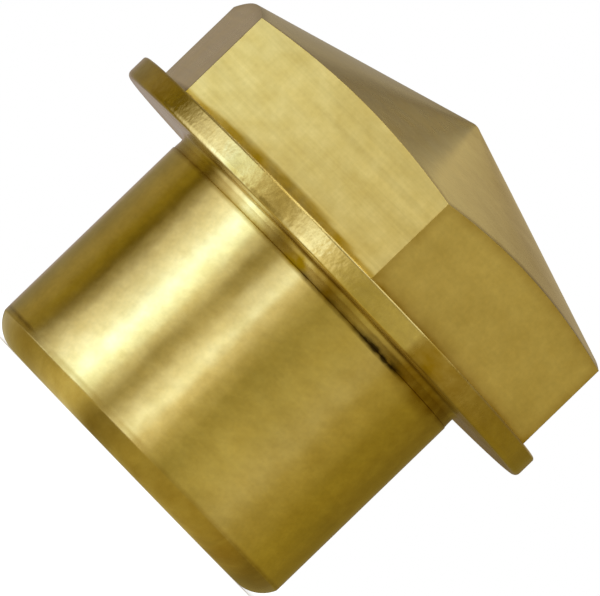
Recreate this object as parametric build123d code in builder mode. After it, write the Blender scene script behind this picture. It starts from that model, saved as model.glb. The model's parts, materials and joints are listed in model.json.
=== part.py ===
from build123d import *
from math import cos, radians, tan
import os

# A fork stem nut, turned from one round bar of brass and milled to a hexagon.
# It screws down over the end of a fork stem, with its shank inside the top
# clamp and its flange on the clamp's face. Millimetres and degrees. The origin
# is the middle of the open end, and the axis runs up Z to the point of the head.

# Shank: the sleeve that drops into the top clamp
SHANK_DIAMETER = 28.2
SHANK_LENGTH = 19.7  # open end to the underside of the flange

# Lead: the bevel round the open end, which bulges a little where it was
# filed round in the lathe
LEAD_HEIGHT = 1.65
LEAD_WIDTH = 2.15
LEAD_CROWN = 0.37  # how far it bulges from a straight bevel
LEAD_EDGE_RADIUS = 0.4  # where it meets the side of the shank

# Relief turned at the root of the shank, so that the flange seats square. It
# drops in with a small step and deepens towards the flange.
RELIEF_WIDTH = 1.2
RELIEF_STEP = 0.05  # depth at the lower end
RELIEF_DEPTH = 0.1  # depth at the flange
RELIEF_RADIUS = 0.5  # where the relief runs into the flange

# Flange
FLANGE_DIAMETER = 40.4
FLANGE_THICKNESS = 1.9
SEAT_EDGE_BREAK = 0.3  # 45 degree break on the lower edge of the rim
RIM_EDGE_BREAK = 0.2  # the same on the upper edge

# Head: a hexagon under a turned cone
ACROSS_FLATS = 34.925  # takes a 1 3/8 in wrench
POINT_HEIGHT = 13.8  # top of the flange to the sharp point of the cone
CONE_SLOPE = 17.5  # fall of the cone, measured from level
POINT_RADIUS = 1.0  # the blunted point
HEX_SIDES = 6
HEX_TURN = 30  # puts two corners on the Y axis

# Threaded socket: 7/8 in, 14 threads to the inch, drilled and tapped blind
THREAD_DIAMETER = 22.225
THREAD_PITCH = 25.4 / 14
THREAD_HALF_ANGLE = 30
THREAD_SHARE = 5 / 8  # how much of the sharp V's height the thread keeps
MOUTH_CLEARANCE = 0.2  # countersink's mouth beyond the thread's crest, on radius
DRILL_POINT_ANGLE = 118
CROWN_WALL = 5.2  # metal left between the drill's tip and the sharp point

PICK = 0.01  # how near an edge lies to the circle that it is picked by

shank_radius = SHANK_DIAMETER / 2
relief_radius = shank_radius - RELIEF_DEPTH
relief_bottom = SHANK_LENGTH - RELIEF_WIDTH
step_radius = shank_radius - RELIEF_STEP
step_top = relief_bottom + RELIEF_STEP
flange_radius = FLANGE_DIAMETER / 2
flange_top = SHANK_LENGTH + FLANGE_THICKNESS
sharp_point = flange_top + POINT_HEIGHT
corner_radius = ACROSS_FLATS / 2 / cos(radians(180 / HEX_SIDES))

thread_height = THREAD_SHARE * THREAD_PITCH / 2 / tan(radians(THREAD_HALF_ANGLE))
socket_radius = THREAD_DIAMETER / 2 - thread_height
mouth_radius = THREAD_DIAMETER / 2 + MOUTH_CLEARANCE
mouth_depth = mouth_radius - socket_radius
socket_tip = sharp_point - CROWN_WALL
socket_end = socket_tip - socket_radius / tan(radians(DRILL_POINT_ANGLE / 2))

point_centre = sharp_point - POINT_RADIUS / cos(radians(CONE_SLOPE))
clear_radius = corner_radius + flange_radius


def ring(context, height, radius):
    """The circular edges of the part at one height and one radius."""
    circles = context.edges().filter_by(GeomType.CIRCLE)
    level = circles.filter_by_position(Axis.Z, height - PICK, height + PICK)
    return level.filter_by(lambda edge: abs(edge.radius - radius) < PICK)


with BuildPart() as stem_nut:
    # Shank, relief and flange, turned in one profile
    with BuildSketch(Plane.XZ):
        with BuildLine():
            lead = SagittaArc((shank_radius - LEAD_WIDTH, 0), (shank_radius, LEAD_HEIGHT), -LEAD_CROWN)
            Polyline(
                lead @ 1,
                (shank_radius, relief_bottom),
                (step_radius, step_top),
                (relief_radius, SHANK_LENGTH),
                (flange_radius, SHANK_LENGTH),
                (flange_radius, flange_top),
                (0, flange_top),
                (0, 0),
                lead @ 0,
            )
        make_face()
    revolve(axis=Axis.Z)
    fillet(ring(stem_nut, LEAD_HEIGHT, shank_radius), LEAD_EDGE_RADIUS)
    fillet(ring(stem_nut, SHANK_LENGTH, relief_radius), RELIEF_RADIUS)
    chamfer(ring(stem_nut, SHANK_LENGTH, flange_radius), SEAT_EDGE_BREAK)
    chamfer(ring(stem_nut, flange_top, flange_radius), RIM_EDGE_BREAK)

    # Hexagon, milled down to the flange. Its corners reach the flange's rim
    # and come out of the broken edge there.
    with BuildSketch(Plane.XY.offset(flange_top - RIM_EDGE_BREAK)):
        RegularPolygon(ACROSS_FLATS / 2, HEX_SIDES, major_radius=False, rotation=HEX_TURN)
    extrude(amount=POINT_HEIGHT + RIM_EDGE_BREAK)

    # Cone turned across the hexagon, which leaves a curved top on each flat,
    # with a blunted point tangent to it
    with BuildSketch(Plane.XZ):
        with BuildLine():
            blunt = CenterArc((0, point_centre), POINT_RADIUS, 90 - CONE_SLOPE, CONE_SLOPE)
            cone_foot = (clear_radius, sharp_point - clear_radius * tan(radians(CONE_SLOPE)))
            Polyline(blunt @ 0, cone_foot, (clear_radius, sharp_point), (0, sharp_point), blunt @ 1)
        make_face()
    revolve(axis=Axis.Z, mode=Mode.SUBTRACT)

    # Socket for the stem's thread, with its countersunk mouth and drill point.
    # The wall stands at the thread's inner diameter.
    with BuildSketch(Plane.XZ):
        with BuildLine():
            Polyline(
                (0, 0),
                (mouth_radius, 0),
                (socket_radius, mouth_depth),
                (socket_radius, socket_end),
                (0, socket_tip),
                close=True,
            )
        make_face()
    revolve(axis=Axis.Z, mode=Mode.SUBTRACT)

os.makedirs("parts", exist_ok=True)
stem_nut.part.label = "stem_nut"
export_step(stem_nut.part, "parts/stem_nut.step")
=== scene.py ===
import json
from math import cos, degrees, pi, radians, sin, sqrt, tan

import bmesh
import bpy
from mathutils import Matrix, Vector


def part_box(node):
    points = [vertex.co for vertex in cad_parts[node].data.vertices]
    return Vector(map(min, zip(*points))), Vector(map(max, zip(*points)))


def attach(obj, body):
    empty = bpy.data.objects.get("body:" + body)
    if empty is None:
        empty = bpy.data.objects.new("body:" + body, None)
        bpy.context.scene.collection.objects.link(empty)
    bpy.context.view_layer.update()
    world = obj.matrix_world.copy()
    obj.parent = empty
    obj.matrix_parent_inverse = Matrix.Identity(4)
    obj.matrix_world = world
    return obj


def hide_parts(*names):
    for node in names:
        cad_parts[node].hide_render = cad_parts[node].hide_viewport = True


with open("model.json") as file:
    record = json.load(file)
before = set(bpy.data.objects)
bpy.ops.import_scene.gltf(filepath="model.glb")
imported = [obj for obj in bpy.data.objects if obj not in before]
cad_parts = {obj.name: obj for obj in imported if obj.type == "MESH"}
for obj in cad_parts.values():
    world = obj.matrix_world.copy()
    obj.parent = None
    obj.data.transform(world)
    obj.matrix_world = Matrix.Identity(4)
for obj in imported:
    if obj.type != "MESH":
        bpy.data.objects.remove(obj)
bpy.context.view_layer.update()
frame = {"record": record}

# ---- Shank, relief and flange ----
# The lower half of the nut, turned from round brass bar: a plain shank with a
# lead at its open end, a narrow relief at its root and a thin flange above.
MM = 0.001
mounts = {mount["name"]: mount for mount in frame["record"]["mounts"]}
nut_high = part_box("stem_nut")[1]
flange_radius = nut_high.x / MM
shank_radius = mounts["shank"]["dims"]["r_mm"]
seat_height = mounts["flange_seat"]["pos_m"][2] / MM

FLANGE_THICKNESS = 1.9
LEAD_HEIGHT = 1.65  # the bevel round the open end
LEAD_WIDTH = 2.15
LEAD_CROWN = 0.37  # how far it bulges from a straight bevel
LEAD_EDGE = 0.4  # rounding where it meets the side of the shank
RELIEF_WIDTH = 1.2
RELIEF_STEP = 0.05  # depth of the relief at its lower end
RELIEF_DEPTH = 0.1  # depth of the relief at the flange
RELIEF_EDGE = 0.03
RELIEF_ROUND = 0.5  # where the relief runs into the flange
SEAT_EDGE = 0.42  # rounding of the rim's lower edge
RIM_EDGE = 0.2  # rounding of the rim's upper edge
END_FACE_ROW = 11.7  # first row of the end face, outside the socket's mouth

# Rows of points that carry the tarnish, dirt and painted shade, which have a section of their own
CORNER_DARK_WIDTH = 0.35  # how far the darkening spreads from the relief's lower corner, up and down
STAIN_RISE = 0.4  # height of a stain line above the lead
STAIN_WIDTH = 0.25  # its spread up and down
SHADE_DROP = 1.2  # how far the painted shade runs down the shank from the relief
SHADE_ROW = 5  # below the flange, in the shank's painted shade
SEAT_ROW = 1  # in from the rim

EDGE_STEPS = 5  # steps round each rounded edge
LEAD_STEPS = 14
GUARD = 0.01  # close row beside each rounded edge, which keeps the face next to it true

flange_top = seat_height + FLANGE_THICKNESS
stain_height = LEAD_HEIGHT + STAIN_RISE
relief_bottom = seat_height - RELIEF_WIDTH
step_top = relief_bottom + RELIEF_STEP
relief_foot = Vector((shank_radius - RELIEF_STEP, step_top))
relief_slope = (Vector((shank_radius - RELIEF_DEPTH, seat_height)) - relief_foot).normalized()


def arc(centre, start, end, steps):
    """Points round a centre, from one offset to another."""
    sweep = start.angle(end)
    shares = [sweep * step / steps for step in range(steps + 1)]
    return [centre + (start * sin(sweep - share) + end * sin(share)) / sin(sweep) for share in shares]


def bowed(start, end, crown):
    """Points from start to end along an arc that bulges to the right of that way by crown."""
    chord = end - start
    radius = chord.length**2 / (8 * crown) + crown / 2
    side = Vector((chord.y, -chord.x)).normalized()
    centre = (start + end) / 2 + side * (crown - radius)
    return arc(centre, start - centre, end - centre, LEAD_STEPS)


def soften(corners):
    """
    The profile through corners of (radius, height, rounding), without its two end points.
    A corner with a rounding of 0 stays as it is.
    """
    points = []
    for before, here, after in zip(corners, corners[1:], corners[2:]):
        corner = Vector(here[:2])
        if here[2] == 0:
            points.append(corner)
            continue
        back = (Vector(before[:2]) - corner).normalized()
        ahead = (Vector(after[:2]) - corner).normalized()
        half = back.angle(ahead) / 2
        reach = here[2] / tan(half)
        centre = corner + (back + ahead).normalized() * here[2] / sin(half)
        points.append(corner + back * (reach + GUARD))
        points += arc(centre, corner + back * reach - centre, corner + ahead * reach - centre, EDGE_STEPS)
        points.append(corner + ahead * (reach + GUARD))
    return points


lead = bowed(Vector((shank_radius - LEAD_WIDTH, 0)), Vector((shank_radius, LEAD_HEIGHT)), LEAD_CROWN)
turned_rows = [Vector((END_FACE_ROW, 0)), lead[0] - Vector((GUARD, 0))] + lead[:-1]
turned_rows += soften([
    lead[-2],
    (shank_radius, LEAD_HEIGHT, LEAD_EDGE),
    (shank_radius, stain_height - STAIN_WIDTH, 0),
    (shank_radius, stain_height, 0),
    (shank_radius, stain_height + STAIN_WIDTH, 0),
    (shank_radius, seat_height - SHADE_ROW, 0),
    (shank_radius, relief_bottom - SHADE_DROP, 0),
    (shank_radius, relief_bottom - CORNER_DARK_WIDTH, 0),
    (shank_radius, relief_bottom, RELIEF_EDGE),
    (shank_radius - RELIEF_STEP, step_top, RELIEF_EDGE),
    (*(relief_foot + relief_slope * CORNER_DARK_WIDTH), 0),
    (shank_radius - RELIEF_DEPTH, seat_height, RELIEF_ROUND),
    (flange_radius - SEAT_ROW, seat_height, 0),
    (flange_radius, seat_height, SEAT_EDGE),
    (flange_radius, flange_top),
])

# ---- Hexagonal head ----
# Six milled flats over the flange, with a cone turned across their tops, so
# that each flat ends in a curve. The corners run down into the flange's rim.
ACROSS_FLATS = 34.925
HEX_SIDES = 6
CONE_SLOPE = radians(17.5)
POINT_RADIUS = 1.0  # the blunted point
FLAT_EDGE = 0.03  # rounding between a flat and the cone
CORNER_EDGE = 0.06  # rounding between two flats
ROOT_ROUND = 0.05  # left by the cutter's corner where a flat meets the flange
ROOT_ROWS = (0.2, 0.45, 0.7, 1.0, 1.4)  # heights above the root of the rows that carry the painted shade's fade
EDGE_ROW = 0.8  # the same from the edge between a flat and the cone, down the one and up the other
CONE_ROWS = (14.0, 10.0, 6.0, 3.0, 1.5)  # radii
COLUMNS = 288  # even columns round the nut
CORNER_COLUMNS = (0.05, 0.1, 0.15, 0.3, 0.8, 1.6)  # degrees from each corner of closer columns
FIRST_CORNER = 90  # degrees from the X axis

apothem = ACROSS_FLATS / 2
point_centre = nut_high.z / MM - POINT_RADIUS
sharp_point = point_centre + POINT_RADIUS / cos(CONE_SLOPE)
corner_turn = pi / HEX_SIDES


def hexagon_reach(angle):
    """The hexagon's distance from the axis at an angle, with its corners rounded."""
    from_corner = (angle - radians(FIRST_CORNER) + corner_turn) % (2 * corner_turn) - corner_turn
    centre = (apothem - CORNER_EDGE) / cos(corner_turn)
    if centre * sin(abs(from_corner)) < CORNER_EDGE * sin(corner_turn) * cos(from_corner):
        return centre * cos(from_corner) + sqrt(CORNER_EDGE**2 - (centre * sin(from_corner)) ** 2)
    return apothem / cos(corner_turn - abs(from_corner))


def head_rows(reach):
    """
    The rows of one column, from the rim's upper edge on: over the flange, up a flat and over the cone.
    Reach is the flat's distance from the axis there.
    """
    inner = flange_radius - RIM_EDGE
    rim_radius = max(reach, inner)
    foot = flange_top - RIM_EDGE + sqrt(RIM_EDGE**2 - (rim_radius - inner) ** 2)
    root = max(0, min(ROOT_ROUND, (inner - reach) / 2))
    turned, milled, coned = [], [], []
    turned.append(Vector((flange_radius, flange_top - RIM_EDGE - GUARD)))
    for step in range(EDGE_STEPS + 1):
        turn = pi / 2 * step / EDGE_STEPS
        radius = inner + RIM_EDGE * cos(turn)
        height = flange_top - RIM_EDGE + RIM_EDGE * sin(turn)
        turned.append(Vector((radius, height)) if radius > rim_radius else Vector((rim_radius, foot)))
    turned.append(Vector((max(reach + root, inner - GUARD), foot)))
    turned.append(Vector((reach + root, foot)))
    for step in range(1, EDGE_STEPS + 1):
        turn = pi / 2 * step / EDGE_STEPS
        milled.append(Vector((reach + root * (1 - sin(turn)), foot + root * (1 - cos(turn)))))
    milled.append(Vector((reach, foot + root + GUARD)))
    milled += [Vector((reach, foot + rise)) for rise in ROOT_ROWS]
    edge_height = sharp_point - reach * tan(CONE_SLOPE)
    edge = soften([(reach, foot), (reach, edge_height, FLAT_EDGE), (0, sharp_point)])
    milled.append(Vector((reach, edge_height - EDGE_ROW)))
    milled += edge[: EDGE_STEPS // 2 + 2]
    coned += edge[EDGE_STEPS // 2 + 2 :]
    cone_radii = (reach - EDGE_ROW, *CONE_ROWS)
    coned += [Vector((radius, sharp_point - radius * tan(CONE_SLOPE))) for radius in cone_radii]
    slope_end = POINT_RADIUS * sin(CONE_SLOPE) + GUARD
    coned.append(Vector((slope_end, sharp_point - slope_end * tan(CONE_SLOPE))))
    for step in range(EDGE_STEPS):
        turn = CONE_SLOPE * (1 - step / EDGE_STEPS)
        coned.append(Vector((POINT_RADIUS * sin(turn), point_centre + POINT_RADIUS * cos(turn))))
    return turned, milled, coned


angles = {round(360 * step / COLUMNS, 3) for step in range(COLUMNS)}
for corner in range(HEX_SIDES):
    for offset in CORNER_COLUMNS:
        middle = FIRST_CORNER + corner * 360 / HEX_SIDES
        angles |= {round((middle + offset) % 360, 3), round((middle - offset) % 360, 3)}
angles = [radians(angle) for angle in sorted(angles)]

# ---- Tarnish, dirt and painted shade ----
# A brown film has grown on the brass in patches, and the relief's lower corner is darker. The
# film and dirt values also carry painted shade, along the flats' roots and edges, on the shank
# below the flange, in the relief and in a wedge on the cone. Both are values on the points of
# the outside, which is built here in columns.

# Each patch has a middle, a reach and a faded border, in degrees round the nut from the X axis,
# and a strength. A film of 1 covers the brass but for thin spots, and over 1 it closes those too.
RIM_FILM = (3, 77, 1, 1.0)
RIM_THINNED = (-74, -27)  # the rim's film thins from one angle to the other
RIM_THINNING = 0.7
RIM_HAZES = ((-119, 10, 5, 0.6), (-172, 20, 5, 0.6))
RELIEF_FILM_AND_SHADE = 0.3  # all round; tarnish in the recess, partly painted shade
RELIEF_STAINS_AND_SHADE = ((-101, 13, 10, 0.9), (-4, 60, 10, 0.9))
CORNER_DARKENING = 0.9  # at least, darker in the relief's lower corner
# A darker line, lump and smear along the relief's lower corner
CORNER_DARK_LINE = (-81, 24, 8, 0.45)
CORNER_DARK_LUMP = (-67, 8, 3, 0.4)
CORNER_DARK_SMEAR = (-67, 8, 5, 0.3)
SEAT_FILM = 0.3
SEAT_STAIN = (-55, 75, 20, 0.7)
# Painted shade down the shank's right side, darker towards the flange and the relief
SHANK_SHADE = (-16, 28, 12, 0.4)
SHANK_SHADE_RISE = (8, 3)  # depths below the flange where it begins and is whole
SHANK_SHADE_BELOW_RELIEF = (-47, 14, 10, 0.8)
LEAD_FILM = 0.35
LEAD_STAIN = (-20, 50, 20, 0.3)
LEAD_DIRT = (-20, 50, 20, 0.1)
LEAD_BORDER = 0.3  # how far the lead's film reaches up the shank
LINE_STAINS = ((-170, 20, 5, 1.0), (-118, 22, 5, 0.45))
LINE_DIRT = (-170, 20, 5, 0.25)
# Painted shade along each flat's root, where it meets the flange
ROOT_SHADE_HEIGHT = 0.3
ARC_FLAT = (-120, 30)  # the middle and reach of the one flat with a haze, and a taller painted shade in its middle
ARC_HEIGHT = 0.9
ARC_HAZE = 0.4
ARC_SHADE_DARKNESS = 0.3
EDGE_SHADE = 0.4  # painted shade along a flat's edges
STAINED_FLATS = (0, 90, 0.01, 1.0)
STAINED_FILM = 0.15
FOOT_FILM = 0.4
FOOT_HEIGHT = 1.5
# A wedge of painted shade down the cone's front
CONE_SHADE_WEDGE = (-118, 19, 10, 0.78)
CONE_SHADE_DARKNESS = (-118, 19, 10, 0.22)
CONE_HAZE = (0, 82, 25, 0.65)
POINT_FILM = 0.55
POINT_FADE = (1, 8)  # radii over which the point's film fades
# Painted shade along the cone's edge with the flats; the haze beside it is a film on one side
CONE_EDGE_SHADE = 0.6
CONE_EDGE_HAZE = (0, 82, 25, 0.6)
CONE_EDGE_SHADE_DARKNESS = 0.3

TURNED_FACE, CONE_FACE, RIM_FACE, MILLED_FACE, STAINED_FACE, TAPPED_FACE = range(6)
solid = bmesh.new()
lay_layer = solid.verts.layers.float_vector.new("lay")
film_and_shade_layer = solid.verts.layers.float.new("film_and_shade")
dirt_and_shade_layer = solid.verts.layers.float.new("dirt_and_shade")


def ease(value, low, high):
    """A smooth step from 0 at low to 1 at high."""
    share = min(1, max(0, (value - low) / (high - low)))
    return share * share * (3 - 2 * share)


def patch(turn, middle, reach, border, strength):
    """The strength of a patch at an angle: whole inside its border, and 0 beyond it."""
    away = abs((turn - middle + 180) % 360 - 180)
    return strength * (1 - ease(away, reach - border, reach + border))


def turned_wear_and_shade(radius, height, turn):
    """The film, the dirt and the painted shade on the shank, relief, flange and rim."""
    if radius > flange_radius - 2 * SEAT_EDGE:
        film_and_shade = patch(turn, *RIM_FILM) * (1 - RIM_THINNING * ease(turn, *RIM_THINNED))
        return max(film_and_shade, *(patch(turn, *haze) for haze in RIM_HAZES)), 0
    if height < LEAD_HEIGHT + LEAD_BORDER:
        return LEAD_FILM + patch(turn, *LEAD_STAIN), patch(turn, *LEAD_DIRT)
    if height < stain_height + 2 * STAIN_WIDTH:
        in_line = abs(height - stain_height) < STAIN_WIDTH / 2
        return in_line * sum(patch(turn, *stain) for stain in LINE_STAINS), in_line * patch(turn, *LINE_DIRT)
    if height < relief_bottom - CORNER_DARK_WIDTH / 2:
        begin, whole = [seat_height - depth for depth in SHANK_SHADE_RISE]
        film_and_shade = patch(turn, *SHANK_SHADE) * ease(height, begin, whole)
        return film_and_shade + patch(turn, *SHANK_SHADE_BELOW_RELIEF) * ease(height, relief_bottom - SHADE_DROP, relief_bottom), 0
    if height > seat_height - GUARD:
        return SEAT_FILM + patch(turn, *SEAT_STAIN), 0
    film_and_shade = RELIEF_FILM_AND_SHADE + max(patch(turn, *stain) for stain in RELIEF_STAINS_AND_SHADE)
    if height < step_top + CORNER_DARK_WIDTH / 2:
        return max(film_and_shade, CORNER_DARKENING), patch(turn, *CORNER_DARK_LINE) + patch(turn, *CORNER_DARK_LUMP)
    return film_and_shade, patch(turn, *CORNER_DARK_SMEAR) if height < step_top + 2 * CORNER_DARK_WIDTH else 0


def milled_wear_and_shade(height, edge_height, turn):
    """The film on a flat, and the painted shade along its root and its edges."""
    flat_turn = 360 / HEX_SIDES
    past_corner = abs((turn - FIRST_CORNER + flat_turn / 2) % flat_turn - flat_turn / 2)
    from_edge = min(edge_height - height, radians(past_corner) * apothem)
    rise = height - flange_top
    arc = max(0, 1 - ((turn - ARC_FLAT[0]) / ARC_FLAT[1]) ** 2)
    root_height = ROOT_SHADE_HEIGHT + ARC_HEIGHT * arc
    at_root = 1 - ease(rise, root_height / 2, root_height)
    at_edge = EDGE_SHADE * (1 - ease(from_edge, 0, EDGE_ROW))
    stained = patch(turn, *STAINED_FLATS) * (STAINED_FILM + FOOT_FILM * (1 - ease(rise, 0, FOOT_HEIGHT)))
    return max(at_root, at_edge + stained, ARC_HAZE * (arc > 0)), ARC_SHADE_DARKNESS * at_root * arc


def cone_wear_and_shade(radius, turn, reach):
    """The film on the cone round its point, and painted shade in a wedge and along its edge with the flats.
    """
    at_point = POINT_FILM * (1 - ease(radius, *POINT_FADE))
    at_edge = (CONE_EDGE_SHADE + patch(turn, *CONE_EDGE_HAZE)) * ease(radius, reach - EDGE_ROW, reach)
    film_and_shade = max(patch(turn, *CONE_SHADE_WEDGE), patch(turn, *CONE_HAZE), at_point, at_edge)
    return film_and_shade, max(CONE_EDGE_SHADE_DARKNESS * at_edge, patch(turn, *CONE_SHADE_DARKNESS))


columns = []
for angle in angles:
    turned, milled, coned = head_rows(hexagon_reach(angle))
    turn = (degrees(angle) + 180) % 360 - 180
    column = []
    for kind, rows in (("turned", turned_rows + turned), ("milled", milled), ("coned", coned)):
        for row in rows:
            place = Vector((row.x * cos(angle), row.x * sin(angle), row.y)) * MM
            vertex = solid.verts.new(place)
            # The lay gives patterns their place. It follows the surface up and inwards, so that
            # they keep their size on level faces
            across = {"turned": row.y - row.x, "milled": row.y, "coned": -row.x}[kind]
            vertex[lay_layer] = (place.x, place.y, across * MM)
            if kind == "turned":
                film_and_shade, dirt_and_shade = turned_wear_and_shade(row.x, row.y, turn)
            elif kind == "milled":
                film_and_shade, dirt_and_shade = milled_wear_and_shade(row.y, coned[0].y, turn)
            else:
                film_and_shade, dirt_and_shade = cone_wear_and_shade(row.x, turn, coned[0].x)
            vertex[film_and_shade_layer] = film_and_shade
            vertex[dirt_and_shade_layer] = dirt_and_shade
            column.append(vertex)
    columns.append(column)
first_milled = len(turned_rows) + len(turned)
first_coned = first_milled + len(milled)
first_rim = next(row for row, point in enumerate(turned_rows) if point.x > flange_radius - SEAT_EDGE)
point = solid.verts.new((0, 0, nut_high.z))
point[lay_layer] = (0, 0, 0)
for angle, here, beside in zip(angles, columns, columns[1:] + columns[:1]):
    inside_face = angle + radians(CORNER_COLUMNS[0] / 2)
    for row in range(len(here) - 1):
        face = solid.faces.new((here[row], beside[row], beside[row + 1], here[row + 1]))
        if first_milled <= row + 1 < first_coned:
            face.material_index = STAINED_FACE if cos(inside_face) > 0 else MILLED_FACE
        elif row + 1 >= first_coned:
            face.material_index = CONE_FACE
        elif first_rim <= row:
            face.material_index = RIM_FACE
        else:
            face.material_index = TURNED_FACE
    solid.faces.new((here[-1], beside[-1], point)).material_index = CONE_FACE

# ---- Threaded socket ----
# A blind hole, drilled with a point and tapped 7/8 in by 14 threads to the
# inch, right-handed. The thread starts in a countersink and runs out inside.
THREAD_DIAMETER = 22.225
PITCH = 25.4 / 14
MOUTH_CLEARANCE = 0.2
RUN_OUT = 1.5  # turns over which the tap's taper lets the thread fade
DRILL_POINT = radians(118 / 2)
ROWS_PER_TURN = 16  # puts rows on the thread's corners, which lie on sixteenths of the pitch
SOCKET_COLUMNS = 96
WELD = 0.001  # points closer than this become one

bore_radius = mounts["stem_thread"]["dims"]["r_mm"]
mouth_radius = THREAD_DIAMETER / 2 + MOUTH_CLEARANCE
socket_end = mounts["stem_thread"]["dims"]["length_mm"] + mouth_radius - bore_radius
tip_height = socket_end + bore_radius / tan(DRILL_POINT)


def add(tree, kind, inputs=(), **settings):
    """Adds a node with its settings, and its inputs as values or as the sockets that feed them."""
    node = tree.nodes.new(kind)
    for name, value in settings.items():
        setattr(node, name, value)
    for name, value in dict(inputs).items():
        if isinstance(value, bpy.types.NodeSocket):
            tree.links.new(value, node.inputs[name])
        else:
            node.inputs[name].default_value = value
    return node


thread_tree = bpy.data.node_groups.new("tapped_socket", "GeometryNodeTree")
thread_tree.interface.new_socket("Geometry", in_out="OUTPUT", socket_type="NodeSocketGeometry")
thread_sizes = {
    "Bore Radius": bore_radius * MM,
    "Thread Radius": THREAD_DIAMETER / 2 * MM,
    "Mouth Radius": mouth_radius * MM,
    "Pitch": PITCH * MM,
    "Depth": socket_end * MM,
    "Run Out": RUN_OUT * PITCH * MM,
}
for name in thread_sizes:
    thread_tree.interface.new_socket(name, in_out="INPUT", socket_type="NodeSocketFloat")
thread_counts = {"Columns": SOCKET_COLUMNS, "Rows": int(socket_end / PITCH + 2) * ROWS_PER_TURN}
for name in thread_counts:
    thread_tree.interface.new_socket(name, in_out="INPUT", socket_type="NodeSocketInt")
thread_tree.interface.new_socket("Material", in_out="INPUT", socket_type="NodeSocketMaterial")


def sum_of(tree, operation, first, second=0.0, **settings):
    """One step of arithmetic, and the socket with its result."""
    return add(tree, "ShaderNodeMath", {0: first, 1: second}, operation=operation, **settings).outputs[0]


given = add(thread_tree, "NodeGroupInput").outputs
column_points = sum_of(thread_tree, "ADD", given["Columns"], 1)
row_points = sum_of(thread_tree, "ADD", given["Rows"], 1)
grid = add(thread_tree, "GeometryNodeMeshGrid", {
    "Size X": 1, "Size Y": 1, "Vertices X": column_points, "Vertices Y": row_points,
})
grid_place = add(thread_tree, "GeometryNodeInputPosition").outputs[0]
cell = add(thread_tree, "ShaderNodeSeparateXYZ", {0: grid_place})
turn = sum_of(thread_tree, "ADD", cell.outputs["X"], 0.5)
turns_up = sum_of(thread_tree, "MULTIPLY", sum_of(thread_tree, "ADD", cell.outputs["Y"], 0.5), given["Rows"])
turns_up = sum_of(thread_tree, "SUBTRACT", sum_of(thread_tree, "DIVIDE", turns_up, ROWS_PER_TURN), 1)
climb = sum_of(thread_tree, "MULTIPLY", sum_of(thread_tree, "ADD", turns_up, turn), given["Pitch"])
height = sum_of(thread_tree, "MINIMUM", sum_of(thread_tree, "MAXIMUM", climb, 0.0), given["Depth"])
phase = sum_of(thread_tree, "FRACT", turns_up)
ridge = sum_of(thread_tree, "ABSOLUTE", sum_of(thread_tree, "SUBTRACT", phase, 0.5))
# The crest's flat is a quarter of the pitch wide and the root's an eighth
form = add(thread_tree, "ShaderNodeMapRange", {
    "Value": ridge, "From Min": 1 / 8, "From Max": 7 / 16, "To Min": 0.0, "To Max": 1.0,
}).outputs[0]
left = sum_of(thread_tree, "SUBTRACT", given["Depth"], height)
fade = add(thread_tree, "ShaderNodeMapRange", {
    "Value": left, "From Min": 0.0, "From Max": given["Run Out"], "To Min": 0.0, "To Max": 1.0,
}).outputs[0]
thread_depth = sum_of(thread_tree, "SUBTRACT", given["Thread Radius"], given["Bore Radius"])
cut = sum_of(thread_tree, "MULTIPLY", sum_of(thread_tree, "MULTIPLY", thread_depth, form), fade)
wall = sum_of(thread_tree, "ADD", given["Bore Radius"], cut)
sink = sum_of(thread_tree, "SUBTRACT", given["Mouth Radius"], height)
radius = sum_of(thread_tree, "MAXIMUM", wall, sink)
swing = sum_of(thread_tree, "MULTIPLY", turn, 2 * pi)
place = add(thread_tree, "ShaderNodeCombineXYZ", {
    "X": sum_of(thread_tree, "MULTIPLY", radius, sum_of(thread_tree, "COSINE", swing)),
    "Y": sum_of(thread_tree, "MULTIPLY", radius, sum_of(thread_tree, "SINE", swing)),
    "Z": height,
})
placed = add(thread_tree, "GeometryNodeSetPosition", {
    "Geometry": grid.outputs["Mesh"], "Position": place.outputs[0],
})
welded = add(thread_tree, "GeometryNodeMergeByDistance", {
    "Geometry": placed.outputs[0], "Distance": WELD * MM,
})
real = add(thread_tree, "GeometryNodeRealizeInstances", {"Geometry": welded.outputs[0]})
finished = add(thread_tree, "GeometryNodeSetMaterial", {
    "Geometry": real.outputs[0], "Material": given["Material"],
})
add(thread_tree, "NodeGroupOutput", {"Geometry": finished.outputs[0]})


# ---- Brass finish ----
# Free-cutting brass, used as it left the lathe and the mill: bright and
# yellow, with fine marks along each cut, handling dents and a brown film. The film's and
# dirt's colours also paint shade where the points' values ask for it.
def linear(code):
    """A colour written as sRGB hex, as linear red, green, blue and alpha."""
    parts = [int(code[start : start + 2], 16) / 255 for start in (1, 3, 5)]
    return (*[part / 12.92 if part <= 0.04045 else ((part + 0.055) / 1.055) ** 2.4 for part in parts], 1)


BRASS = "#E8D387"
BRASS_DULL = "#C2A548"
# The film's and the dirt's colours, which also paint shade
FILM_AND_SHADE = "#967608"
DIRT_AND_SHADE = "#1E140A"

# Patterns over the brass: length and width in millimetres, and detail. The finest are drawn as
# coarse as they need to be to show.
GRAIN = (0.35, 0.35, 2.0)
SMEARS = (1.8, 1.4, 4.0)
CRUMBS = (0.9, 0.4, 3.0)
CLOUDS = (6.0, 5.0, 3.0)
TOOL_DETAIL = 2.0
SCUFF_DETAIL = 3.0

DULLING = 0.7  # how far the smears dull the brass
GRAIN_SHADE = 0.07
CLOUD_SHADES = (0.2, 0.12)  # darker and lighter
DIRT_AND_SHADE_BREAKS = (0.6, 1.0)  # how far smears and crumbs break up the dirt and its painted shade
DIRT_AND_SHADE_START, DIRT_AND_SHADE_WHOLE, DIRT_AND_SHADE_COVER = 0.05, 0.8, 0.9
FILM_AND_SHADE_ROUGHNESS = 0.12  # what the film, the dirt and their painted shade add
ROUGHNESS_SPREAD = 0.02
SPREAD_ACROSS = 0.8  # light spreads across the marks, and hardly along them
QUARTER_TURN = 0.25


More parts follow.
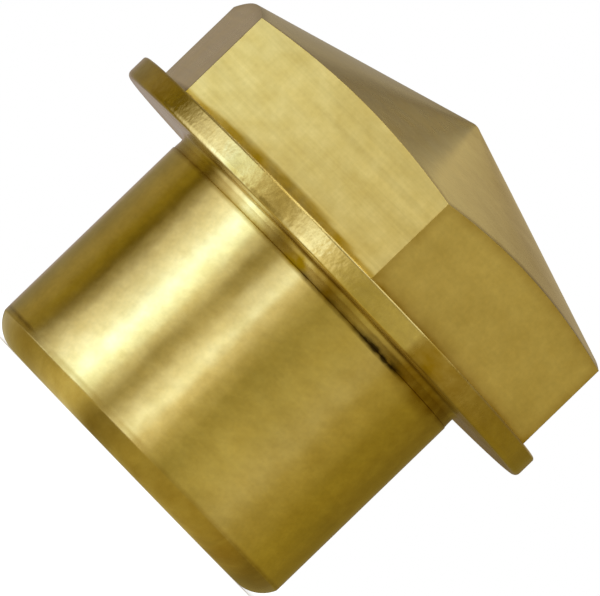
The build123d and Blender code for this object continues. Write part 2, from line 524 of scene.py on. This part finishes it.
def brass(name, roughness, lines, bands, scuffs, skin, blotches):
    """
    Bare cut brass, with tool marks that run round the axis.
    Lines are (length, width, shade, slope), bands (length, width, shade), scuffs (length, width,
    slant, shade) and skin (size, slope), in millimetres and degrees. Blotches say how much the
    film and its painted shade break up.
    """
    material = bpy.data.materials.new(name)
    material.use_nodes = True
    tree = material.node_tree
    shader = tree.nodes["Principled BSDF"]
    lay = add(tree, "ShaderNodeAttribute", attribute_name="lay").outputs["Vector"]
    film_and_shade = add(tree, "ShaderNodeAttribute", attribute_name="film_and_shade").outputs["Fac"]
    dirt_and_shade = add(tree, "ShaderNodeAttribute", attribute_name="dirt_and_shade").outputs["Fac"]

    def pattern(length, width, detail, slant=0.0):
        """Noise over the surface, with one feature about this long and this wide."""
        slanted = add(tree, "ShaderNodeMapping", {"Vector": lay, "Rotation": (0, slant, 0)}).outputs[0]
        scale = (1 / (length * MM), 1 / (length * MM), 1 / (width * MM))
        where = add(tree, "ShaderNodeMapping", {"Vector": slanted, "Scale": scale}).outputs[0]
        noise = add(tree, "ShaderNodeTexNoise", {"Vector": where, "Scale": 1.0, "Detail": detail})
        return noise.outputs["Fac"]

    def ranged(value, low, high, start=0.3, end=0.7):
        """A value spread from low to high as it goes from start to end."""
        return add(tree, "ShaderNodeMapRange", {
            "Value": value, "From Min": start, "From Max": end, "To Min": low, "To Max": high,
        }).outputs[0]

    def blend(amount, first, second):
        """A mix of two colours."""
        mixed = add(tree, "ShaderNodeMix", {"Factor": amount, 6: first, 7: second}, data_type="RGBA")
        return mixed.outputs[2]

    def product(first, *others):
        """Values multiplied together."""
        for other in others:
            first = sum_of(tree, "MULTIPLY", first, other)
        return first

    line_length, line_width, line_shade, line_slope = lines
    band_length, band_width, band_shade = bands
    scuff_length, scuff_width, scuff_slant, scuff_shade = scuffs
    skin_size, skin_slope = skin
    tool_lines = pattern(line_length, line_width, TOOL_DETAIL)
    tool_bands = pattern(band_length, band_width, TOOL_DETAIL)
    scuff_lines = pattern(scuff_length, scuff_width, SCUFF_DETAIL, radians(scuff_slant))
    grain = pattern(*GRAIN)
    smears = pattern(*SMEARS)
    crumbs = pattern(*CRUMBS)
    clouds = pattern(*CLOUDS)

    dulled = blend(ranged(smears, 0.0, DULLING * blotches), linear(BRASS), linear(BRASS_DULL))
    darker, lighter = CLOUD_SHADES
    shade = product(
        ranged(tool_lines, 1 - line_shade, 1.0),
        ranged(tool_bands, 1 - band_shade, 1.0),
        ranged(scuff_lines, 1 - scuff_shade, 1.0),
        ranged(grain, 1 - GRAIN_SHADE, 1.0),
        ranged(clouds, 1 - darker * blotches, 1 + lighter * blotches),
    )
    marked = add(tree, "ShaderNodeVectorMath", {0: dulled, "Scale": shade}, operation="SCALE").outputs[0]
    film_and_shade_amount = product(film_and_shade, ranged(smears, 1 - blotches, 1.0))
    coated_and_shaded = blend(film_and_shade_amount, marked, linear(FILM_AND_SHADE))
    smear_break, crumb_break = [depth * blotches for depth in DIRT_AND_SHADE_BREAKS]
    ragged = product(
        dirt_and_shade,
        ranged(smears, 1 + smear_break, 1 - smear_break),
        ranged(crumbs, 1 + crumb_break, 1 - crumb_break),
    )
    dirt_and_shade_amount = ranged(ragged, 0.0, DIRT_AND_SHADE_COVER, DIRT_AND_SHADE_START, DIRT_AND_SHADE_WHOLE)
    tree.links.new(blend(dirt_and_shade_amount, coated_and_shaded, linear(DIRT_AND_SHADE)), shader.inputs["Base Color"])
    rougher = product(sum_of(tree, "MAXIMUM", film_and_shade_amount, dirt_and_shade_amount), FILM_AND_SHADE_ROUGHNESS)
    bare = ranged(clouds, roughness - ROUGHNESS_SPREAD, roughness + ROUGHNESS_SPREAD)
    tree.links.new(sum_of(tree, "ADD", bare, rougher), shader.inputs["Roughness"])
    shader.inputs["Metallic"].default_value = 1.0
    shader.inputs["Anisotropic"].default_value = SPREAD_ACROSS
    shader.inputs["Anisotropic Rotation"].default_value = QUARTER_TURN
    tangent = add(tree, "ShaderNodeTangent", direction_type="RADIAL", axis="Z")
    tree.links.new(tangent.outputs[0], shader.inputs["Tangent"])
    uneven = add(tree, "ShaderNodeBump", {
        "Height": pattern(skin_size, skin_size, TOOL_DETAIL), "Distance": skin_slope * skin_size * MM,
    })
    cut = add(tree, "ShaderNodeBump", {
        "Height": tool_lines, "Distance": line_slope * line_width * MM, "Normal": uneven.outputs[0],
    })
    tree.links.new(cut.outputs[0], shader.inputs["Normal"])
    return material


# In the order of the faces' numbers
finishes = (
    # The shank, relief and flange: bright bands drawn out along the axis, under slanting scuffs
    brass(
        "turned_brass", roughness=0.19, lines=(12, 0.25, 0.03, 0.005), bands=(15, 1, 0.03),
        scuffs=(2.4, 0.5, 35, 0.07), skin=(3.5, 0.012), blotches=0.5,
    ),
    # The cone: the same cut, smoother, with soft cloudy marks
    brass(
        "coned_brass", roughness=0.19, lines=(12, 0.25, 0.02, 0.002), bands=(15, 1, 0.02),
        scuffs=(3, 3, 0, 0.08), skin=(4, 0.003), blotches=0.2,
    ),
    # The rim: small knocks, which break its band of light into flecks
    brass(
        "rim_brass", roughness=0.19, lines=(3, 0.25, 0.03, 0.005), bands=(6, 1, 0.03),
        scuffs=(0.6, 0.4, 0, 0.08), skin=(0.7, 0.045), blotches=0.3,
    ),
    # The brighter flats: satin, with long level cutter lines and faint upright ones across them
    brass(
        "milled_brass", roughness=0.28, lines=(14, 0.25, 0.1, 0.01), bands=(18, 1.1, 0.12),
        scuffs=(0.3, 3, 0, 0.045), skin=(2.4, 0.003), blotches=0.3,
    ),
    # The flats that tarnish has evened out: satin, with hardly a line
    brass(
        "stained_brass", roughness=0.28, lines=(14, 0.25, 0.03, 0.01), bands=(18, 1.1, 0.03),
        scuffs=(0.8, 0.6, 0, 0.06), skin=(2.4, 0.003), blotches=0.3,
    ),
    # The socket: duller, with the tap's coarser marks
    brass(
        "tapped_brass", roughness=0.32, lines=(8, 0.2, 0.1, 0.01), bands=(8, 1, 0.1),
        scuffs=(0.6, 0.4, 0, 0.05), skin=(1.2, 0.01), blotches=0.5,
    ),
)

# ---- Whole nut ----
# The outside and the socket are one piece of brass, as they were cut from one
# bar. The open end's flat face joins the thread's mesh to the rest.
SHARP_TURN = radians(32)  # a fold of more than this shows as an edge

socket_mesh = bpy.data.meshes.new("socket_guide")
socket_guide = bpy.data.objects.new("socket_guide", socket_mesh)
bpy.context.scene.collection.objects.link(socket_guide)
tapping = socket_guide.modifiers.new("tapping", "NODES")
tapping.node_group = thread_tree
sockets = {item.name: item.identifier for item in thread_tree.interface.items_tree if item.in_out == "INPUT"}
for name, value in {**thread_sizes, **thread_counts, "Material": finishes[TAPPED_FACE]}.items():
    tapping[sockets[name]] = value
graph = bpy.context.evaluated_depsgraph_get()
tapped_mesh = bpy.data.meshes.new_from_object(socket_guide.evaluated_get(graph))
bpy.data.objects.remove(socket_guide)

outside_faces = set(solid.faces)
solid.from_mesh(tapped_mesh)
ends = [edge for edge in solid.edges if edge.is_boundary]
deep = [edge for edge in ends if min(vertex.co.z for vertex in edge.verts) > 0.5 * socket_end * MM]
drill_tip = solid.verts.new((0, 0, tip_height * MM))
for edge in deep:
    solid.faces.new((*edge.verts, drill_tip))
for face in solid.faces:
    if face not in outside_faces:
        face.material_index = TAPPED_FACE
        for vertex in face.verts:
            vertex[lay_layer] = vertex.co
end_edges = [edge for edge in solid.edges if edge.is_boundary]
end_face = bmesh.ops.triangle_fill(solid, edges=end_edges, normal=(0, 0, -1))
for face in end_face["geom"]:
    if isinstance(face, bmesh.types.BMFace):
        face.material_index = TURNED_FACE
bmesh.ops.remove_doubles(solid, verts=solid.verts, dist=WELD / 2 * MM)
bmesh.ops.recalc_face_normals(solid, faces=solid.faces)
nut_mesh = bpy.data.meshes.new("fork_stem_nut")
solid.to_mesh(nut_mesh)
solid.free()
for material in finishes:
    nut_mesh.materials.append(material)
nut_mesh.shade_smooth()
nut_mesh.set_sharp_from_angle(angle=SHARP_TURN)
nut = bpy.data.objects.new("fork_stem_nut", nut_mesh)
bpy.context.scene.collection.objects.link(nut)
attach(nut, "root")
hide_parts("stem_nut")

# ---- Studio ----
# A pale table in soft light. Round the nut stands a tent that only reflections see. It is painted
# in tinted tones, so this isn't plain light: without it the brass is paler and has no bands.
SKY_LIGHT = 0.6
FLOOR_RADIUS = 0.6
FLOOR_SIDES = 96
FLOOR_GAP = 0.02  # below the nut, in millimetres
FLOOR_COLOUR = "#E6E6E6"
FLOOR_GLOW = 0.35  # lifts the floor to white where it is seen or reflected

scene = bpy.context.scene
scene.view_settings.view_transform = "Standard"
world = bpy.data.worlds.new("studio")
scene.world = world
world.use_nodes = True
sky = world.node_tree
sky.nodes.clear()
rays = add(sky, "ShaderNodeLightPath").outputs
seen = sum_of(sky, "MAXIMUM", rays["Is Camera Ray"], rays["Is Glossy Ray"])
seen = sum_of(sky, "MAXIMUM", seen, rays["Is Transmission Ray"])
soft = add(sky, "ShaderNodeBackground", {"Color": linear("#FFFFFF"), "Strength": SKY_LIGHT})
backdrop = add(sky, "ShaderNodeBackground", {"Color": linear("#FFFFFF"), "Strength": 1.0})
mixed = add(sky, "ShaderNodeMixShader", {0: seen, 1: soft.outputs[0], 2: backdrop.outputs[0]})
add(sky, "ShaderNodeOutputWorld", {"Surface": mixed.outputs[0]})

floor_material = bpy.data.materials.new("pale_floor")
floor_material.use_nodes = True
tree = floor_material.node_tree
tree.nodes.clear()
rays = add(tree, "ShaderNodeLightPath").outputs
seen = sum_of(tree, "MAXIMUM", rays["Is Camera Ray"], rays["Is Glossy Ray"])
seen = sum_of(tree, "MAXIMUM", seen, rays["Is Transmission Ray"])
matt = add(tree, "ShaderNodeBsdfDiffuse", {"Color": linear(FLOOR_COLOUR)})
glow = add(tree, "ShaderNodeEmission", {"Strength": sum_of(tree, "MULTIPLY", seen, FLOOR_GLOW)})
both = add(tree, "ShaderNodeAddShader", {0: matt.outputs[0], 1: glow.outputs[0]})
add(tree, "ShaderNodeOutputMaterial", {"Surface": both.outputs[0]})
floor_mesh = bpy.data.meshes.new("floor")
shape = bmesh.new()
bmesh.ops.create_circle(shape, cap_ends=True, segments=FLOOR_SIDES, radius=FLOOR_RADIUS)
bmesh.ops.translate(shape, verts=shape.verts, vec=(0, 0, -FLOOR_GAP * MM))
shape.to_mesh(floor_mesh)
shape.free()
floor_mesh.materials.append(floor_material)
floor = bpy.data.objects.new("floor", floor_mesh)
scene.collection.objects.link(floor)

# The tent is a mat under the nut, a round wall and a dome. The tones of
# its wall go by the angle round the nut, from the camera's side, with right
# positive. Low on the wall, and on the mat, they stand to be seen in upright
# faces, and higher up in the cone. They were fitted, direction by direction, to give the nut its shades.
CAMERA_TURN = radians(-7.33)  # the camera's place round the nut, from the -Y side
TENT_PROFILE = ((0.3, -0.00001), (0.3, 0.25), (0.2, 0.38), (0.08, 0.44))  # radius and height
TENT_SIDES = 96
LOW_TONES = (
    (-180, "#FFFAF4", 0.52),
    (-172, "#FFECE4", 0.42),
    (-150, "#FFEDB8", 0.29),
    (-122, "#FFE898", 0.37),
    (-110, "#FFE458", 0.3),
    (-100, "#FFDC28", 0.16),
    (-93, "#FFF0C0", 0.38),
    (-80, "#F8F8FF", 1.05),
    (-68, "#E0E8FF", 1.8),
    (-57, "#B8CEFF", 3.9),
    (-49, "#D4E4FF", 2.5),
    (-41, "#FBF9F0", 0.94),
    (-33, "#FFEEB0", 0.37),
    (-27, "#FFF2C0", 0.5),
    (-18, "#F4F6FF", 1.25),
    (-11, "#DCE6FF", 2.1),
    (-4, "#FFF8E4", 1.0),
    (5, "#FFF2B8", 0.6),
    (14, "#FFF0A0", 0.44),
    (35, "#FFF2B0", 0.56),
    (60, "#FFF2C0", 0.57),
    (75, "#FFEA90", 0.46),
    (105, "#FFE668", 0.35),
    (150, "#FFE060", 0.24),
    (180, "#FFE0B0", 0.22),
)
HIGH_TONES = (
    (-180, "#FFF2DC", 0.36),
    (-150, "#FFEEC8", 0.34),
    (-100, "#FFE890", 0.24),
    (-60, "#FFF4D8", 0.42),
    (-20, "#FFF4D8", 0.4),
    (60, "#FFEFB0", 0.45),
    (140, "#FFE4A0", 0.28),
    (170, "#FFEEC8", 0.5),
    (180, "#FFECB8", 0.78),
)
MAT_TONES = (
    (-180, "#FFF0C0", 0.3),
    (-100, "#FFF0C0", 0.5),
    (-60, "#FFE890", 0.4),
    (-30, "#FFF4C0", 0.8),
    (-17, "#FFE890", 0.32),
    (0, "#FFEC98", 0.5),
    (30, "#FFEC98", 0.57),
    (48, "#FFE480", 0.45),
    (68, "#FFE480", 0.27),
    (180, "#FFF0C0", 0.3),
)
CEILING_TONE = ("#FFF6E0", 0.4)
TOP_TONE = ("#F4F7FF", 1.2)  # the soft box overhead
MAT_EDGE = (0.017, 0.026)  # distance from the axis over which the mat's own tone ends
HIGH_EDGE = (0.17, 0.27)  # rise over run at which the high tones begin
CEILING_EDGE = (0.72, 0.9)
TOP_EDGE = (1.3, 1.6)

tent_material = bpy.data.materials.new("tent_cards")
tent_material.use_nodes = True
tree = tent_material.node_tree
tree.nodes.clear()
where = add(tree, "ShaderNodeTexCoord").outputs["Object"]
turned_place = add(tree, "ShaderNodeMapping", {"Vector": where, "Rotation": (0, 0, pi / 2 - CAMERA_TURN)})
round_nut = add(tree, "ShaderNodeTexGradient", {"Vector": turned_place.outputs[0]}, gradient_type="RADIAL")
level_place = add(tree, "ShaderNodeVectorMath", {0: where, 1: (1, 1, 0)}, operation="MULTIPLY").outputs[0]
distance = add(tree, "ShaderNodeVectorMath", {0: level_place}, operation="LENGTH").outputs["Value"]
rise = add(tree, "ShaderNodeSeparateXYZ", {0: where}).outputs["Z"]
lift = sum_of(tree, "DIVIDE", rise, distance)


def wall_tones(tones):
    """The tones round the wall, as one colour."""
    ramp = add(tree, "ShaderNodeValToRGB", {"Fac": round_nut.outputs["Fac"]})
    ramp.color_ramp.interpolation = "EASE"
    while len(ramp.color_ramp.elements) < len(tones):
        ramp.color_ramp.elements.new(0.5)
    for element, (turn, code, strength) in zip(ramp.color_ramp.elements, tones):
        element.position = turn / 360 + 0.5
        element.color = toned(code, strength)
    return ramp.outputs["Color"]


def toned(code, strength):
    """A hex colour at a strength."""
    return [part * strength for part in linear(code)[:3]] + [1]


def beyond(value, edge, inside, outside):
    """One tone inside an edge and another beyond it."""
    share = add(tree, "ShaderNodeMapRange", {
        "Value": value, "From Min": edge[0], "From Max": edge[1], "To Min": 0.0, "To Max": 1.0,
    }, interpolation_type="SMOOTHSTEP").outputs[0]
    return add(tree, "ShaderNodeMix", {"Factor": share, 6: inside, 7: outside}, data_type="RGBA").outputs[2]


tone = beyond(distance, MAT_EDGE, wall_tones(MAT_TONES), wall_tones(LOW_TONES))
tone = beyond(lift, HIGH_EDGE, tone, wall_tones(HIGH_TONES))
tone = beyond(lift, CEILING_EDGE, tone, toned(*CEILING_TONE))
tone = beyond(lift, TOP_EDGE, tone, toned(*TOP_TONE))
lit = add(tree, "ShaderNodeEmission", {"Color": tone, "Strength": 1.0})
add(tree, "ShaderNodeOutputMaterial", {"Surface": lit.outputs[0]})
tent_material.cycles.emission_sampling = "NONE"
shape = bmesh.new()
rings = []
for radius, height in TENT_PROFILE:
    turns = [2 * pi * side / TENT_SIDES for side in range(TENT_SIDES)]
    rings.append([shape.verts.new((radius * cos(turn), radius * sin(turn), height)) for turn in turns])
for lower, upper in zip(rings, rings[1:]):
    for side in range(TENT_SIDES):
        shape.faces.new((lower[side - 1], lower[side], upper[side], upper[side - 1]))
shape.faces.new(rings[0])
shape.faces.new(rings[-1])
tent_mesh = bpy.data.meshes.new("light_tent")
shape.to_mesh(tent_mesh)
shape.free()
tent_mesh.materials.append(tent_material)
tent = bpy.data.objects.new("light_tent", tent_mesh)
scene.collection.objects.link(tent)
tent.visible_camera = False
tent.visible_diffuse = False
tent.visible_shadow = False
tent.visible_transmission = False

LAMPS = (  # name, place, size and power
    ("key_lamp", (-0.9, -1.0, 1.3), 1.0, 22.0),
    ("fill_lamp", (1.1, -0.6, 1.2), 1.0, 10.0),
)
for name, place, size, power in LAMPS:
    lamp = bpy.data.lights.new(name, "AREA")
    lamp.shape = "SQUARE"
    lamp.size = size
    lamp.energy = power
    holder = bpy.data.objects.new(name, lamp)
    holder.location = place
    holder.rotation_euler = (Vector((0, 0, 0)) - Vector(place)).to_track_quat("-Z", "Y").to_euler()
    holder.visible_camera = False
    scene.collection.objects.link(holder)

# ---- Camera ----
# A long lens close to table height, rolled so that the nut leans to the right.
CAMERA_DISTANCE = 0.56
CAMERA_HEIGHT = 0.0043
AIM_HEIGHT = 0.017525
AIM_RIGHT = 0.000089
LENS = 465.6
SENSOR = 36.0
ROLL = radians(46.005)

camera_data = bpy.data.cameras.new("camera")
camera_data.lens = LENS
camera_data.sensor_width = SENSOR
camera = bpy.data.objects.new("camera", camera_data)
scene.collection.objects.link(camera)
scene.camera = camera
back = Vector((sin(CAMERA_TURN), -cos(CAMERA_TURN), 0))
right = Vector((cos(CAMERA_TURN), sin(CAMERA_TURN), 0))
place = back * CAMERA_DISTANCE + Vector((0, 0, CAMERA_HEIGHT))
aim = right * AIM_RIGHT + Vector((0, 0, AIM_HEIGHT))
level = (aim - place).to_track_quat("-Z", "Y").to_matrix().to_4x4()
camera.matrix_world = Matrix.Translation(place) @ level @ Matrix.Rotation(ROLL, 4, "Z")
